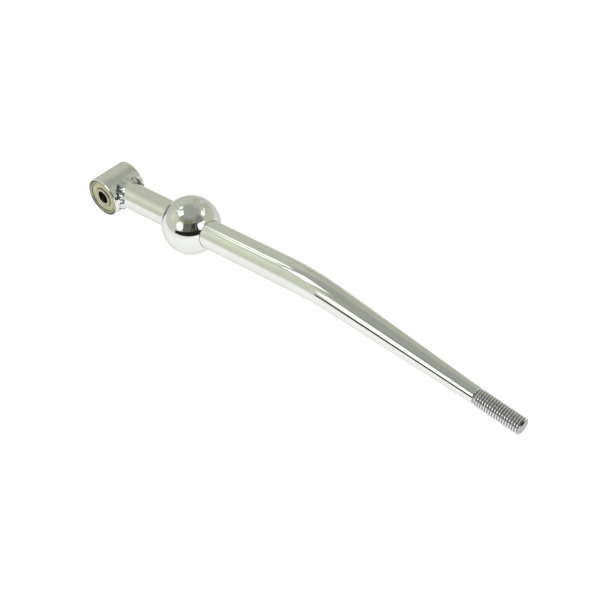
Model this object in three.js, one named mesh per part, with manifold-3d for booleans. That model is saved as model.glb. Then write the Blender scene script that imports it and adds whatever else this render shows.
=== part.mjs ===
// Gear shift lever for a floor-mounted gearbox: a bent, tapered shaft with a knob thread, a pivot
// ball, and a cross tube that carries two shielded ball bearings for the bolt of the shift rod.
//
// The model is drawn in the lever's own frame: the cross tube's centre at the origin, the cross
// tube along Y and the straight lower shaft along X. The last lines tilt it to the way it rests on
// its ball and its threaded tip, and move the origin under the middle of its footprint.

import * as THREE from 'three';
import { mergeVertices } from 'three/addons/utils/BufferGeometryUtils.js';
import Module from 'manifold-3d';

const wasm = await Module();
wasm.setup();

// Driving dimensions, in millimetres and degrees.
const TUBE_RADIUS = 12.5;
const TUBE_HALF_LENGTH = 12;
const TUBE_EDGE_CHAMFER = 0.5;
const TUBE_LAND_RADIUS = 9.8;

const LOWER_RADIUS = 8.3;
const UPPER_RADIUS = 8.6;
const BALL_RADIUS = 17.5;
const BALL_MOUTH_CHAMFER = 0.35;

const CROSS_TUBE_TO_BALL = 66;
const BALL_TO_BEND = 95.5;
const BEND_TO_TIP = 139;
const BEND_ANGLE = THREE.MathUtils.degToRad(10.8);
const BEND_RADIUS = 160;

const THREAD_LENGTH = 28;
const THREAD_PITCH = 1.5;
const THREAD_CREST_RADIUS = 4.95;
const THREAD_ROOT_RADIUS = 4.1;
const THREAD_CREST_FLAT = 1 / 8;
const THREAD_ROOT_FLAT = 1 / 4;
const TAPER_END_RADIUS = 4.75;
const TIP_FACE_RADIUS = 3.9;
const RELIEF_WIDTH = 0.8;

// The weld's hollow face: its leg on shaft and tube, and how it thins towards both.
const WELD_LEG = 3;
const WELD_HOLLOW = 0.45 * WELD_LEG;
const WELD_TOE = 0.2 * WELD_LEG;
const WELD_THIN_EDGE = 0.1;
const WELD_ROOT_DEPTH = 3;

// A 608 bearing: 8 mm bore, 22 mm outside, 7 mm wide, seven 5/32 inch balls.
const BORE_RADIUS = 4;
const BEARING_RADIUS = 11;
const BEARING_HALF_WIDTH = 3.5;
const INNER_SHOULDER_RADIUS = 6.05;
const OUTER_SHOULDER_RADIUS = 8.95;
const SHIELD_SEAT_RADIUS = 9.6;
const SHIELD_SEAT_DEPTH = 0.95;
const RACE_BALL_RADIUS = 1.9845;
const RACE_PITCH_RADIUS = 7.5;
const RACE_BALL_COUNT = 7;
const GROOVE_FLOOR_SHARE = 0.5;
const RING_CHAMFER = 0.3;
const BEARING_RECESS = 0.3;

const SHIELD_THICKNESS = 0.35;
const CAGE_RADIAL_HALF_WIDTH = 0.75;
const CAGE_SHEET = 0.35;
const CAGE_DOME_RADIUS = 2.9;
const CAGE_DOME_TOP = 2.6;
const SLEEVE_OUTER_RADIUS = 5.75;
const SLEEVE_BORE_RADIUS = 4.2;

// Clearances: between pieces that are cut to each other, between pressed pieces, and in the races.
const CUT_GAP = 0.3;
const SEAT_GAP = 0.1;
const RACE_GAP = 0.1;
const POCKET_GAP = 0.22;

// Facets around each kind of round piece.
const SHAFT_SIDES = 20;
const BALL_SIDES = 28;
const BALL_LAYERS = 14;
const TUBE_SIDES = 32;
const RING_SIDES = 28;
const WELD_SIDES = 24;
const RACE_BALL_SIDES = 8;
const RACE_BALL_LAYERS = 6;
const CAGE_DOME_SIDES = 6;
const CAGE_DOME_LAYERS = 4;
const THREAD_STEPS_PER_TURN = 4;
const BEND_STEPS = 8;

// Tools of the construction: long cutting cylinders, and how close counts as the same point.
const CUTTER_LENGTH = 100;
const MERGE_DISTANCE = 1e-4;
const AXIS_RADIUS = 1;

// Places that follow from the driving dimensions, along the shaft's centreline.
const FULL_TURN = 2 * Math.PI;
const BEND_TANGENT = BEND_RADIUS * Math.tan(BEND_ANGLE / 2);
const BEND_START = CROSS_TUBE_TO_BALL + BALL_TO_BEND - BEND_TANGENT;
const BEND_END = BEND_START + BEND_RADIUS * BEND_ANGLE;
const SHAFT_END = BEND_END + BEND_TO_TIP - BEND_TANGENT;
const THREAD_START = SHAFT_END - THREAD_LENGTH;
const RELIEF_START = THREAD_START - RELIEF_WIDTH;
const BALL_BORE_RADIUS = LOWER_RADIUS + CUT_GAP;
const BALL_MOUTH = Math.sqrt(BALL_RADIUS ** 2 - BALL_BORE_RADIUS ** 2);
const SHOULDER = CROSS_TUBE_TO_BALL + BALL_MOUTH + CUT_GAP;
const BEARING_CENTRE = TUBE_HALF_LENGTH - BEARING_RECESS - BEARING_HALF_WIDTH;
const BEARING_INNER_FACE = BEARING_CENTRE - BEARING_HALF_WIDTH;

const CHROME = { color: 0xc9ccc8, roughness: 0.08, metalness: 1 };
const WELD = { color: 0xb9bdb8, roughness: 0.2, metalness: 1 };
const RING_STEEL = { color: 0xa9aa98, roughness: 0.3, metalness: 1 };
const SHIELD_STEEL = { color: 0xc9bd92, roughness: 0.35, metalness: 1 };
const CAGE_STEEL = { color: 0x9c9788, roughness: 0.45, metalness: 1 };
const SLEEVE_STEEL = { color: 0x77756c, roughness: 0.4, metalness: 1 };

// A surface of revolution about Y from [radius, y] pairs, walked with the solid on the left.
function turned(outline, sides) {
  const points = outline.map(([radius, y]) => new THREE.Vector2(radius, y));
  return new THREE.LatheGeometry(points, sides);
}

// A ring about Y: the outline closes on itself and never meets the axis.
function turnedRing(outline, sides) {
  return turned([...outline, outline[0]], sides);
}

function cylinder(radius, length, sides) {
  const half = length / 2;
  return turned([[0, -half], [radius, -half], [radius, half], [0, half]], sides);
}

// Turns a shape drawn along Y so that it lies along X.
function alongX(geometry) {
  return geometry.rotateZ(-Math.PI / 2);
}

function welded(geometry) {
  const bare = geometry.clone();
  bare.deleteAttribute('normal');
  bare.deleteAttribute('uv');
  return mergeVertices(bare, MERGE_DISTANCE);
}

function solidOf(geometry) {
  const closed = welded(geometry);
  const mesh = new wasm.Mesh({
    numProp: 3,
    vertProperties: new Float32Array(closed.attributes.position.array),
    triVerts: new Uint32Array(closed.index.array),
  });
  return new wasm.Manifold(mesh);
}

function geometryOf(solid) {
  const mesh = solid.getMesh();
  const geometry = new THREE.BufferGeometry();
  geometry.setAttribute('position', new THREE.BufferAttribute(mesh.vertProperties, 3));
  geometry.setIndex(new THREE.BufferAttribute(mesh.triVerts, 1));
  geometry.computeVertexNormals();
  return geometry;
}

function piece(name, geometry, look) {
  const mesh = new THREE.Mesh(geometry, new THREE.MeshStandardMaterial(look));
  mesh.name = name;
  return mesh;
}

// The shaft tapers evenly from where the bend starts to the thread relief.
function plainRadius(along) {
  const share = THREE.MathUtils.clamp((along - BEND_START) / (RELIEF_START - BEND_START), 0, 1);
  return THREE.MathUtils.lerp(UPPER_RADIUS, TAPER_END_RADIUS, share);
}

// Radius of the right-hand knob thread, with its run-in at the relief and its chamfered tip.
function threadRadius(along, angle) {
  const turns = (along - THREAD_START) / THREAD_PITCH - angle / FULL_TURN;
  const ridge = Math.abs(2 * (turns - Math.floor(turns)) - 1);
  const flank = 1 - THREAD_CREST_FLAT - THREAD_ROOT_FLAT;
  const height = THREE.MathUtils.clamp((ridge - THREAD_ROOT_FLAT) / flank, 0, 1);
  const runIn = THREE.MathUtils.clamp((along - THREAD_START) / THREAD_PITCH, 0, 1);
  const depth = THREAD_CREST_RADIUS - THREAD_ROOT_RADIUS;
  const cut = THREAD_ROOT_RADIUS + depth * height * runIn;
  return Math.min(cut, TIP_FACE_RADIUS + SHAFT_END - along);
}

// Takes a point of the straight shaft to its place on the bent one. The bend turns down, in XZ.
function bent(point) {
  const turn = THREE.MathUtils.clamp((point.x - BEND_START) / BEND_RADIUS, 0, BEND_ANGLE);
  const straight = point.x - BEND_RADIUS * turn;
  const beyond = Math.max(0, straight - BEND_START);
  const before = Math.min(straight, BEND_START);
  const x = before + BEND_RADIUS * Math.sin(turn) + beyond * Math.cos(turn);
  const z = -BEND_RADIUS * (1 - Math.cos(turn)) - beyond * Math.sin(turn);
  return point.set(x + point.z * Math.sin(turn), point.y, z + point.z * Math.cos(turn));
}

function shaftGeometry() {
  const outline = [[0, TUBE_RADIUS / 2], [LOWER_RADIUS, TUBE_RADIUS / 2]];
  outline.push([LOWER_RADIUS, SHOULDER], [UPPER_RADIUS, SHOULDER]);
  for (let step = 0; step <= BEND_STEPS; step += 1) {
    const along = THREE.MathUtils.lerp(BEND_START, BEND_END, step / BEND_STEPS);
    outline.push([plainRadius(along), along]);
  }
  outline.push([TAPER_END_RADIUS, RELIEF_START], [THREAD_ROOT_RADIUS, RELIEF_START]);
  const threadSteps = Math.round((THREAD_LENGTH / THREAD_PITCH) * THREAD_STEPS_PER_TURN);
  for (let step = 0; step <= threadSteps; step += 1) {
    const along = THREE.MathUtils.lerp(THREAD_START, SHAFT_END, step / threadSteps);
    outline.push([TIP_FACE_RADIUS, along]);
  }
  outline.push([0, SHAFT_END]);

  const geometry = alongX(turned(outline, SHAFT_SIDES));
  const position = geometry.attributes.position;
  const point = new THREE.Vector3();
  for (let index = 0; index < position.count; index += 1) {
    point.fromBufferAttribute(position, index);
    const radius = Math.hypot(point.y, point.z);
    if (point.x > THREAD_START - SEAT_GAP && radius > AXIS_RADIUS) {
      const grown = threadRadius(point.x, Math.atan2(point.z, point.y)) / radius;
      point.y *= grown;
      point.z *= grown;
    }
    bent(point);
    position.setXYZ(index, point.x, point.y, point.z);
  }
  const cope = cylinder(TUBE_RADIUS + CUT_GAP, CUTTER_LENGTH, TUBE_SIDES);
  return geometryOf(solidOf(geometry).subtract(solidOf(cope)));
}

// The pivot ball, bored through for the lower shaft, with broken edges at both mouths.
function ballGeometry() {
  const mouth = BALL_BORE_RADIUS + BALL_MOUTH_CHAMFER;
  const reach = Math.asin(mouth / BALL_RADIUS);
  const outline = [];
  for (let step = 0; step <= BALL_LAYERS; step += 1) {
    const polar = THREE.MathUtils.lerp(Math.PI - reach, reach, step / BALL_LAYERS);
    outline.push([BALL_RADIUS * Math.sin(polar), BALL_RADIUS * Math.cos(polar)]);
  }
  const face = BALL_RADIUS * Math.cos(reach);
  outline.push([BALL_BORE_RADIUS, face - BALL_MOUTH_CHAMFER]);
  outline.push([BALL_BORE_RADIUS, BALL_MOUTH_CHAMFER - face]);
  return alongX(turnedRing(outline, BALL_SIDES));
}

// The cross tube: a bearing seat from each end, and a land between them that the rings stop on.
function crossTubeGeometry() {
  const seat = BEARING_RADIUS + SEAT_GAP;
  const land = BEARING_INNER_FACE - SEAT_GAP;
  const end = TUBE_HALF_LENGTH;
  const edge = TUBE_EDGE_CHAMFER;
  const lip = edge / 2;
  const upper = [
    [TUBE_RADIUS, end - edge],
    [TUBE_RADIUS - edge, end],
    [seat + lip, end],
    [seat, end - lip],
    [seat, land],
    [TUBE_LAND_RADIUS, land],
  ];
  const lower = upper.map(([radius, y]) => [radius, -y]).reverse();
  return turnedRing([...lower, ...upper], TUBE_SIDES);
}

// The fillet weld: a ring that follows the saddle where the shaft meets the tube.
function weldGeometry() {
  const inner = LOWER_RADIUS - WELD_ROOT_DEPTH;
  const outline = [
    [inner, -WELD_ROOT_DEPTH],
    [LOWER_RADIUS + WELD_LEG, -WELD_ROOT_DEPTH],
    [LOWER_RADIUS + WELD_LEG, WELD_TOE],
    [LOWER_RADIUS + WELD_HOLLOW, WELD_HOLLOW],
    [LOWER_RADIUS + CUT_GAP + WELD_THIN_EDGE, WELD_LEG],
    [inner, WELD_LEG],
  ];
  const geometry = alongX(turnedRing(outline, WELD_SIDES));
  const position = geometry.attributes.position;
  for (let index = 0; index < position.count; index += 1) {
    const height = position.getZ(index);
    const saddle = Math.sqrt(TUBE_RADIUS ** 2 - height ** 2);
    position.setX(index, position.getX(index) + saddle);
  }
  const tube = cylinder(TUBE_RADIUS + CUT_GAP, CUTTER_LENGTH, TUBE_SIDES);
  const shaft = alongX(cylinder(LOWER_RADIUS + CUT_GAP, CUTTER_LENGTH, WELD_SIDES));
  return geometryOf(solidOf(geometry).subtract(solidOf(tube)).subtract(solidOf(shaft)));
}

// One side of a race groove: from the land to the groove's floor, as [radius, y] pairs with y > 0.
function grooveSide(landRadius, floorRadius) {
  const depth = Math.abs(landRadius - floorRadius);
  const curve = RACE_BALL_RADIUS + RACE_GAP;
  const reach = Math.sqrt(curve ** 2 - (curve - depth) ** 2);
  return [[landRadius, reach], [floorRadius, GROOVE_FLOOR_SHARE * reach]];
}

function mirrored(side) {
  return side.map(([radius, y]) => [radius, -y]).reverse();
}

function outerRingGeometry() {
  const half = BEARING_HALF_WIDTH;
  const floor = RACE_PITCH_RADIUS + RACE_BALL_RADIUS + RACE_GAP;
  const seat = half - SHIELD_SEAT_DEPTH;
  const upper = [
    [BEARING_RADIUS, half - RING_CHAMFER],
    [BEARING_RADIUS - RING_CHAMFER, half],
    [SHIELD_SEAT_RADIUS, half],
    [SHIELD_SEAT_RADIUS, seat],
    [OUTER_SHOULDER_RADIUS, seat],
    ...grooveSide(OUTER_SHOULDER_RADIUS, floor),
  ];
  return turnedRing([...mirrored(upper), ...upper], RING_SIDES);
}

function innerRingGeometry() {
  const half = BEARING_HALF_WIDTH;
  const floor = RACE_PITCH_RADIUS - RACE_BALL_RADIUS - RACE_GAP;
  const upper = [
    ...grooveSide(INNER_SHOULDER_RADIUS, floor).reverse(),
    [INNER_SHOULDER_RADIUS, half - RING_CHAMFER],
    [INNER_SHOULDER_RADIUS - RING_CHAMFER, half],
    [BORE_RADIUS + RING_CHAMFER, half],
    [BORE_RADIUS, half - RING_CHAMFER],
  ];
  return turnedRing([...mirrored(upper), ...upper], RING_SIDES);
}

// A shield, drawn for the +Y side of a bearing: a thin washer set into the outer ring's recess.
// side is +1 or -1 and tells which face of the bearing it closes.
function shieldGeometry(side) {
  const low = BEARING_HALF_WIDTH - SHIELD_SEAT_DEPTH + CUT_GAP;
  const high = low + SHIELD_THICKNESS;
  const inner = INNER_SHOULDER_RADIUS + CUT_GAP;
  const outer = SHIELD_SEAT_RADIUS - CUT_GAP;
  const outline = [[inner, low], [outer, low], [outer, high], [inner, high]];
  return turnedRing(side > 0 ? outline : mirrored(outline), RING_SIDES);
}

function raceBallPlaces() {
  const places = [];
  for (let index = 0; index < RACE_BALL_COUNT; index += 1) {
    const angle = (FULL_TURN * index) / RACE_BALL_COUNT;
    const x = RACE_PITCH_RADIUS * Math.sin(angle);
    const z = RACE_PITCH_RADIUS * Math.cos(angle);
    places.push(new THREE.Vector3(x, 0, z));
  }
  return places;
}

function sphereAt(place, radius, sides, layers) {
  return new THREE.SphereGeometry(radius, sides, layers).translate(place.x, place.y, place.z);
}

// Half of a riveted ribbon cage: a flat band that domes over each ball.
function cageHalfGeometry(side) {
  const inner = RACE_PITCH_RADIUS - CAGE_RADIAL_HALF_WIDTH;
  const outer = RACE_PITCH_RADIUS + CAGE_RADIAL_HALF_WIDTH;
  const pocket = RACE_BALL_RADIUS + POCKET_GAP;
  const band = (top) => {
    const outline = [[inner, RACE_GAP], [outer, RACE_GAP], [outer, top], [inner, top]];
    return solidOf(turnedRing(side > 0 ? outline : mirrored(outline), RING_SIDES));
  };
  let cage = band(RACE_GAP + CAGE_SHEET);
  for (const place of raceBallPlaces()) {
    const dome = sphereAt(place, CAGE_DOME_RADIUS, CAGE_DOME_SIDES, CAGE_DOME_LAYERS);
    cage = cage.add(solidOf(dome));
  }
  cage = cage.intersect(band(CAGE_DOME_TOP));
  for (const place of raceBallPlaces()) {
    const hollow = sphereAt(place, pocket, RACE_BALL_SIDES, RACE_BALL_LAYERS);
    cage = cage.subtract(solidOf(hollow));
  }
  return geometryOf(cage);
}

function sleeveGeometry() {
  const half = BEARING_INNER_FACE - SEAT_GAP;
  const outline = [
    [SLEEVE_BORE_RADIUS, -half],
    [SLEEVE_OUTER_RADIUS, -half],
    [SLEEVE_OUTER_RADIUS, half],
    [SLEEVE_BORE_RADIUS, half],
  ];
  return turnedRing(outline, RING_SIDES);
}

// One complete bearing on its side of the cross tube. side is +1 for left (+Y), -1 for right.
function bearing(hand, side) {
  const group = new THREE.Group();
  group.position.y = side * BEARING_CENTRE;
  const name = (part) => `bearing_${hand}_${part}`;
  group.add(piece(name('outer_ring'), outerRingGeometry(), RING_STEEL));
  group.add(piece(name('inner_ring'), innerRingGeometry(), RING_STEEL));
  group.add(piece(name('shield_outboard'), shieldGeometry(side), SHIELD_STEEL));
  group.add(piece(name('shield_inboard'), shieldGeometry(-side), SHIELD_STEEL));
  group.add(piece(name('cage_outboard'), cageHalfGeometry(side), CAGE_STEEL));
  group.add(piece(name('cage_inboard'), cageHalfGeometry(-side), CAGE_STEEL));
  raceBallPlaces().forEach((place, index) => {
    const ball = sphereAt(place, RACE_BALL_RADIUS, RACE_BALL_SIDES, RACE_BALL_LAYERS);
    group.add(piece(name(`ball_${index + 1}`), ball, RING_STEEL));
  });
  return group;
}

// How far the lower shaft rises when the lever lies on its ball and on its tip, from the line that
// touches both circles from below.
function restingRise() {
  const tip = bent(new THREE.Vector3(SHAFT_END, 0, 0));
  const run = tip.x - CROSS_TUBE_TO_BALL;
  const radiusDrop = THREAD_CREST_RADIUS - BALL_RADIUS;
  return Math.asin(radiusDrop / Math.hypot(run, tip.z)) - Math.atan2(tip.z, run);
}

const lever = new THREE.Group();
lever.add(piece('shift_shaft', shaftGeometry(), CHROME));
const pivotBall = piece('pivot_ball', ballGeometry(), CHROME);
pivotBall.position.x = CROSS_TUBE_TO_BALL;
lever.add(pivotBall);
lever.add(piece('cross_tube', crossTubeGeometry(), CHROME));
lever.add(piece('tube_weld', weldGeometry(), WELD));
lever.add(piece('spacer_sleeve', sleeveGeometry(), SLEEVE_STEEL));
lever.add(bearing('left', 1));
lever.add(bearing('right', -1));
lever.rotation.y = -restingRise();

const model = new THREE.Group();
model.add(lever);
model.updateMatrixWorld(true);
const box = new THREE.Box3().setFromObject(model, true);
lever.position.set(-(box.min.x + box.max.x) / 2, -(box.min.y + box.max.y) / 2, -box.min.z);
model.updateMatrixWorld(true);

export default model;
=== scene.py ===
import math

import bmesh
import bpy
import numpy as np
from mathutils import Matrix, Vector


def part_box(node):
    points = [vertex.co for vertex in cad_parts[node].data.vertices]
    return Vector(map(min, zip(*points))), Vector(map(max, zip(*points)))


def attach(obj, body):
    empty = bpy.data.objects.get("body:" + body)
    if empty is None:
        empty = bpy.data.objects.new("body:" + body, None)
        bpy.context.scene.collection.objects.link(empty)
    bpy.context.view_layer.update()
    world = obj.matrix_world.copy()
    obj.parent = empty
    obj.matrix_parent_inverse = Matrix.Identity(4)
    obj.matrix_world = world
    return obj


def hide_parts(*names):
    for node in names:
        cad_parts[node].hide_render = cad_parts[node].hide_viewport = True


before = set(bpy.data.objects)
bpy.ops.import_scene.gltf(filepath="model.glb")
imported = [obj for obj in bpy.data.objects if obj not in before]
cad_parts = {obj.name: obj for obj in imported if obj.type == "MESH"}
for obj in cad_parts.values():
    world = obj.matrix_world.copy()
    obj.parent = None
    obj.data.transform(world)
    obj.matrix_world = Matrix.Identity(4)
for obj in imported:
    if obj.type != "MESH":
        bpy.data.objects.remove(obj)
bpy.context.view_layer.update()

# ---------------------------------------------------------------------------
# Places that the frame gives
# ---------------------------------------------------------------------------


def middle(node):
    low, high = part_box(node)
    return (low + high) / 2


def below(point):
    """The place on the floor under a point."""
    return Vector((point.x, point.y, 0))


def new_object(name, data):
    made = bpy.data.objects.new(name, data)
    bpy.context.scene.collection.objects.link(made)
    return made


UP = Vector((0, 0, 1))
TUBE_CENTRE = middle("cross_tube")
BALL_CENTRE = middle("pivot_ball")
RISE = math.atan2(BALL_CENTRE.z - TUBE_CENTRE.z, BALL_CENTRE.x - TUBE_CENTRE.x)
LEVER = Matrix.Translation(TUBE_CENTRE) @ Matrix.Rotation(-RISE, 4, "Y")

# ---------------------------------------------------------------------------
# Sizes of the real parts, in metres
# ---------------------------------------------------------------------------

MM = 0.001

TUBE_RADIUS = 12.5 * MM
TUBE_HALF_LENGTH = 12.0 * MM
TUBE_SEAT_RADIUS = 11.02 * MM
TUBE_LAND_RADIUS = 9.8 * MM

COPE_SINK = 0.6 * MM
COPE_LENGTH = 6.0 * MM
LOWER_RADIUS = 8.3 * MM
UPPER_RADIUS = 8.6 * MM
BALL_RADIUS = 17.5 * MM
CROSS_TUBE_TO_BALL = (BALL_CENTRE - TUBE_CENTRE).length
BALL_TO_BEND = 95.5 * MM
BEND_TO_TIP = 139.0 * MM
BEND_ANGLE = math.radians(10.8)
BEND_RADIUS = 160.0 * MM
BEND_EASE = 9.0 * MM
BEND_MARGIN = 13.0 * MM
TAPER_EASE = 6.0 * MM

THREAD_LENGTH = 28.0 * MM
THREAD_PITCH = 1.5 * MM
THREAD_CREST_RADIUS = 4.95 * MM
THREAD_ROOT_RADIUS = 4.2 * MM
TAPER_END_RADIUS = 4.75 * MM
TIP_FACE_RADIUS = 3.9 * MM
RELIEF_WIDTH = 0.8 * MM
RELIEF_EDGE = 0.12 * MM
RELIEF_WALL = 0.16 * MM
THREAD_CREST_FLAT = 0.3
THREAD_ROOT_FLAT = 0.1
THREAD_ROWS = 337
RUN_IN_HEIGHT = 0.35
RUN_IN_TURNS = 0.8
TIP_CHAMFER_SLOPE = 1.15

BORE_RADIUS = 4.0 * MM
BEARING_RADIUS = 11.0 * MM
BEARING_HALF_WIDTH = 3.5 * MM
INNER_SHOULDER_RADIUS = 6.05 * MM
OUTER_SHOULDER_RADIUS = 8.95 * MM
SHIELD_SEAT_RADIUS = 9.6 * MM
SHIELD_SEAT_DEPTH = 0.95 * MM
RACE_BALL_RADIUS = 1.9845 * MM
RACE_PITCH_RADIUS = 7.5 * MM
RACE_BALL_COUNT = 7
RACE_CLEARANCE = 0.02 * MM
BEARING_SINK = 0.3 * MM
BEARING_CENTRE = TUBE_HALF_LENGTH - BEARING_SINK - BEARING_HALF_WIDTH
SLEEVE_BORE_RADIUS = 4.2 * MM
SLEEVE_RADIUS = 5.75 * MM

BEND_TANGENT = BEND_RADIUS * math.tan(BEND_ANGLE / 2)
BEND_START = CROSS_TUBE_TO_BALL + BALL_TO_BEND - BEND_TANGENT
BEND_END = BEND_START + BEND_RADIUS * BEND_ANGLE
SHAFT_END = BEND_END + BEND_TO_TIP - BEND_TANGENT
THREAD_START = SHAFT_END - THREAD_LENGTH
RELIEF_START = THREAD_START - RELIEF_WIDTH
BALL_MOUTH = math.sqrt(BALL_RADIUS**2 - UPPER_RADIUS**2)
SHOULDER = CROSS_TUBE_TO_BALL + BALL_MOUTH

# ---------------------------------------------------------------------------
# Mesh building
# ---------------------------------------------------------------------------


def mesh_object(name, points, faces, sharp_angle):
    """A smooth-shaded mesh whose normals point out. Edges over sharp_angle degrees stay sharp."""
    mesh = bpy.data.meshes.new(name)
    mesh.from_pydata([tuple(p) for p in points], [], faces)
    work = bmesh.new()
    work.from_mesh(mesh)
    bmesh.ops.recalc_face_normals(work, faces=work.faces)
    work.to_mesh(mesh)
    work.free()
    mesh.polygons.foreach_set("use_smooth", [True] * len(mesh.polygons))
    mesh.set_sharp_from_angle(angle=math.radians(sharp_angle))
    return new_object(name, mesh)


def placed(rows):
    """Takes points of the lever's own frame to the row frame."""
    turn = np.array(LEVER.to_3x3())
    return rows @ turn.T + np.array(LEVER.translation)


def band_faces(count_rows, count_columns, wraps):
    """Quads between neighbouring rows of points, each row closed on itself."""
    faces = []
    for row in range(count_rows if wraps else count_rows - 1):
        after = (row + 1) % count_rows
        for column in range(count_columns):
            side = (column + 1) % count_columns
            faces.append(
                (
                    row * count_columns + column,
                    row * count_columns + side,
                    after * count_columns + side,
                    after * count_columns + column,
                )
            )
    return faces


def ring_body(name, rows, sharp_angle=40):
    """A closed ring: rows[i][j] goes round the outline with i and round the axis with j."""
    count_rows, count_columns, _ = rows.shape
    points = placed(rows.reshape(-1, 3))
    return mesh_object(name, points, band_faces(count_rows, count_columns, True), sharp_angle)


def capped_body(name, rows, first, last, sharp_angle):
    """A closed bar: rows of points round it, and one point at each end."""
    count_rows, count_columns, _ = rows.shape
    points = placed(np.vstack([rows.reshape(-1, 3), [first, last]]))
    faces = band_faces(count_rows, count_columns, False)
    start, end = count_rows * count_columns, count_rows * count_columns + 1
    top = (count_rows - 1) * count_columns
    for column in range(count_columns):
        side = (column + 1) % count_columns
        faces.append((start, side, column))
        faces.append((end, top + column, top + side))
    return mesh_object(name, points, faces, sharp_angle)


def angles(sides):
    return np.arange(sides) * (2 * math.pi / sides)


def turned_about_y(outline, sides):
    """Rows for a ring about the Y axis from (radius, y) pairs."""
    outline = np.array(outline)
    turn = angles(sides)
    rows = np.zeros((len(outline), sides, 3))
    rows[:, :, 0] = outline[:, :1] * np.sin(turn)
    rows[:, :, 1] = outline[:, 1:]
    rows[:, :, 2] = outline[:, :1] * np.cos(turn)
    return rows


STRAIGHT = math.radians(175)
CORNER_SHARE = 0.38
HOLD = 1.25


def rounded(outline, radius, steps=4):
    """A closed outline with its corners turned into arcs, and a point beside each to hold it."""
    corners = [np.array(p, float) for p in outline]
    points = []
    for index, corner in enumerate(corners):
        before = corners[index - 1] - corner
        after = corners[(index + 1) % len(corners)] - corner
        reach_before, reach_after = np.linalg.norm(before), np.linalg.norm(after)
        before, after = before / reach_before, after / reach_after
        between = math.acos(max(-1.0, min(1.0, float(before @ after))))
        if between > STRAIGHT:
            points.append(corner)
            continue
        tangent = min(radius / math.tan(between / 2), CORNER_SHARE * min(reach_before, reach_after))
        size = tangent * math.tan(between / 2)
        inward = (before + after) / np.linalg.norm(before + after)
        centre = corner + inward * size / math.sin(between / 2)
        points.append(corner + before * tangent * HOLD)
        start = corner + before * tangent - centre
        end = corner + after * tangent - centre
        for step in range(steps + 1):
            share = step / steps
            swing = math.pi - between
            weight_start = math.sin((1 - share) * swing) / math.sin(swing)
            weight_end = math.sin(share * swing) / math.sin(swing)
            points.append(centre + start * weight_start + end * weight_end)
        points.append(corner + after * tangent * HOLD)
    return points


def between(low, high, count):
    return list(np.linspace(low, high, count))


# ---------------------------------------------------------------------------
# Shift shaft
# ---------------------------------------------------------------------------

SHAFT_SIDES = 128


def eased(share):
    """A smooth step from 0 to 1. share may be an array."""
    share = np.clip(share, 0.0, 1.0)
    return share * share * (3 - 2 * share)


def plain_radius(along):
    """The taper, eased where it starts so that reflections run through without a kink."""
    length = RELIEF_START - BEND_START
    slope = (UPPER_RADIUS - TAPER_END_RADIUS) / length
    past = along - BEND_START
    if past < -TAPER_EASE:
        return UPPER_RADIUS
    if past < TAPER_EASE:
        return UPPER_RADIUS - slope * (past + TAPER_EASE) ** 2 / (4 * TAPER_EASE)
    return UPPER_RADIUS - slope * min(past, length)


def thread_radius(along, turn):
    """A right-hand metric thread with a run-in and a chamfered tip. turn is an array."""
    turns = (along - THREAD_START) / THREAD_PITCH - turn / (2 * math.pi)
    ridge = np.abs(2 * (turns - np.floor(turns)) - 1)
    height = eased((ridge - THREAD_ROOT_FLAT) / (1 - THREAD_CREST_FLAT - THREAD_ROOT_FLAT))
    entered = eased((along - THREAD_START) / (RUN_IN_TURNS * THREAD_PITCH))
    run_in = RUN_IN_HEIGHT + (1 - RUN_IN_HEIGHT) * entered
    cut = THREAD_ROOT_RADIUS + (THREAD_CREST_RADIUS - THREAD_ROOT_RADIUS) * height * run_in
    return np.minimum(cut, TIP_FACE_RADIUS + (SHAFT_END - along) * TIP_CHAMFER_SLOPE)


def bend_line():
    """The centreline as (along, turn, x, z). The bend tightens and loosens over twice its ease."""
    along = np.arange(0, SHAFT_END + 5 * MM, 0.05 * MM)
    tighten = np.clip((along - BEND_START) / (2 * BEND_EASE) + 0.5, 0, 1)
    loosen = np.clip((along - BEND_END) / (2 * BEND_EASE) + 0.5, 0, 1)
    step = along[1]
    turn = np.cumsum(tighten - loosen) * step / BEND_RADIUS
    return along, turn, np.cumsum(np.cos(turn)) * step, -np.cumsum(np.sin(turn)) * step


def bent(rows):
    """Takes the straight shaft's points to the bent one. The bend turns down, in XZ."""
    along, turn, x, z = bend_line()
    here = np.interp(rows[..., 0], along, turn)
    made = rows.copy()
    made[..., 0] = np.interp(rows[..., 0], along, x) + rows[..., 2] * np.sin(here)
    made[..., 2] = np.interp(rows[..., 0], along, z) + rows[..., 2] * np.cos(here)
    return made


def row_at(along, radius):
    """One row of points round the straight shaft. radius may be an array, one for each point."""
    turn = angles(SHAFT_SIDES)
    radius = np.broadcast_to(radius, turn.shape)
    return np.stack(
        [np.full(SHAFT_SIDES, along), radius * np.cos(turn), radius * np.sin(turn)], axis=1
    )


def saddle_reach(height, radius):
    """How far along X the tube-sized cylinder about Y reaches at a height above its axis."""
    return np.sqrt(radius**2 - height**2)


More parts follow.
